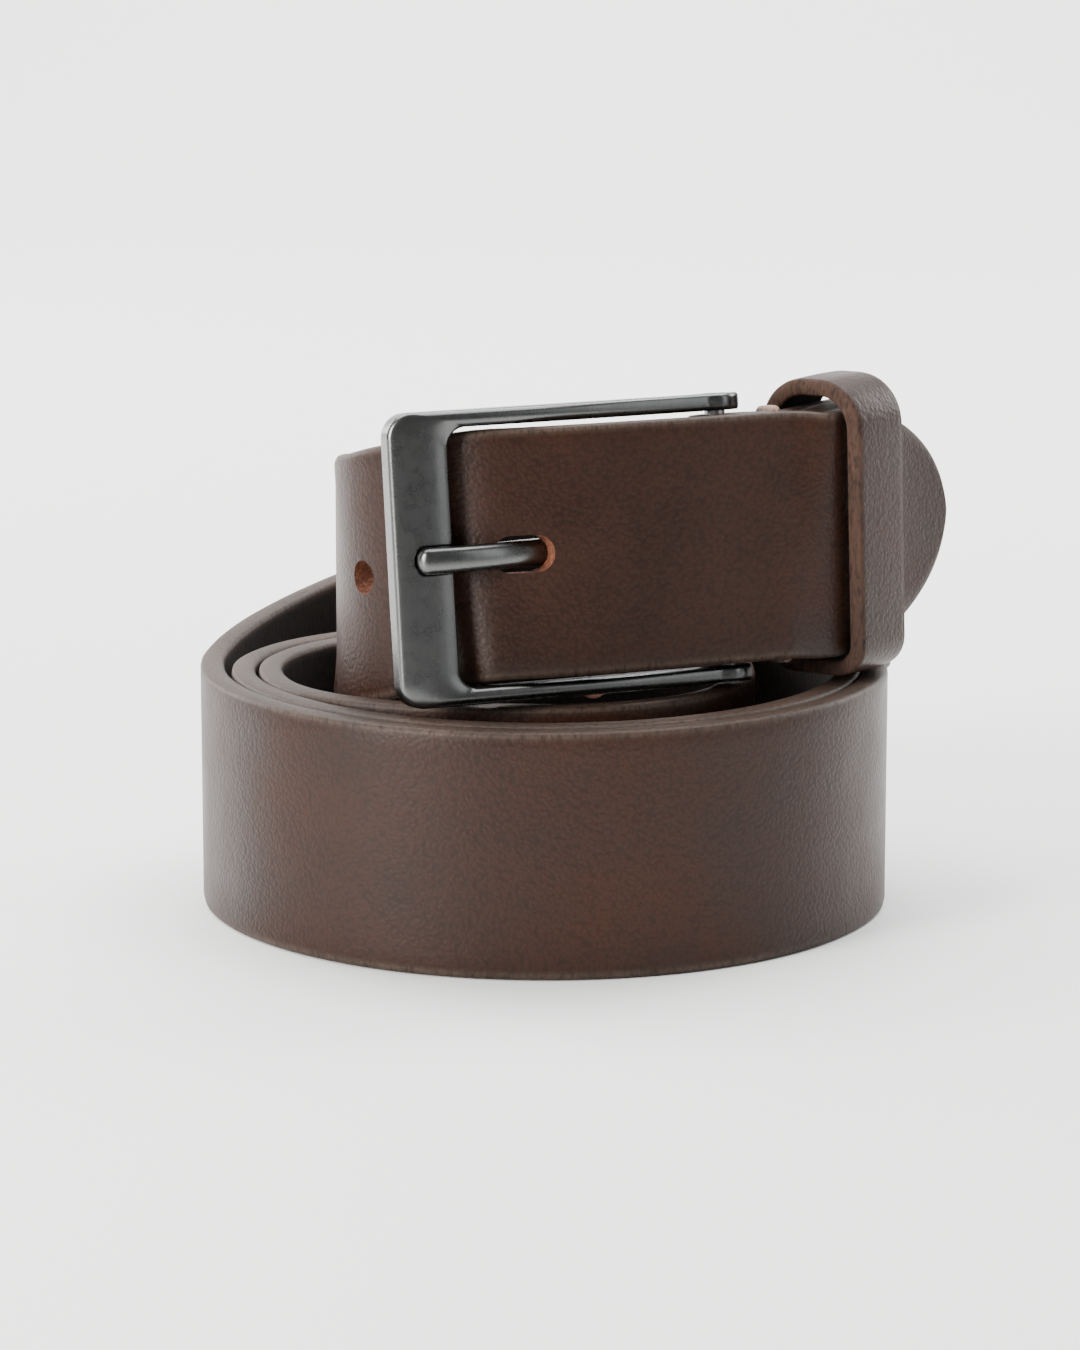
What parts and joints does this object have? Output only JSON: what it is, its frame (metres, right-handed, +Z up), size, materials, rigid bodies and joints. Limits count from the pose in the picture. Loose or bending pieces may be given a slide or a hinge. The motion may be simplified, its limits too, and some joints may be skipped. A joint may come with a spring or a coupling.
{
  "type": "leather belt",
  "caption": "Smooth leather dress belt wound up on its edge, its prong buckle fastened round the coil and its rounded tip held by a leather keeper.",
  "frame": {"origin": "bottom centre of the bounding box, on the surface that the belt stands on", "axes": "+Z up along the strap's width, -Y towards the buckle and the viewer, +X towards the belt's tip"},
  "size_m": [0.118, 0.1122, 0.0847],
  "materials": {
    "leather": "smooth grained, semi-gloss, with burnished edges",
    "gunmetal": "satin gunmetal plating",
    "steel": "satin",
    "thread": "matt waxed thread"
  },
  "bodies": {
    "strap": {"strap": "leather", "stitch_row_buckle": "thread", "stitch_row_keeper": "thread"},
    "frame": {"buckle_frame": "gunmetal", "heel_bar": "steel"},
    "prong": {"prong": "gunmetal"},
    "keeper": {"keeper": "leather", "keeper_staple": "steel"}
  },
  "joints": [
    {"name": "frame_hinge", "type": "hinge", "parent": "strap", "child": "frame", "pos_m": [0.02251, -0.01961, 0.0607], "axis": [-0.0521, 0.129, 0.9903], "range_deg": [-0.7, 0]},
    {"name": "prong_hinge", "type": "hinge", "parent": "strap", "child": "prong", "pos_m": [0.02251, -0.01961, 0.0607], "axis": [-0.0521, 0.129, 0.9903], "range_deg": [0, 1]},
    {"name": "keeper_slide", "type": "slide", "parent": "strap", "child": "keeper", "axis": [0.6157, 0.788, 0], "range_m": [-0.0005, 0.0005]}
  ]
}
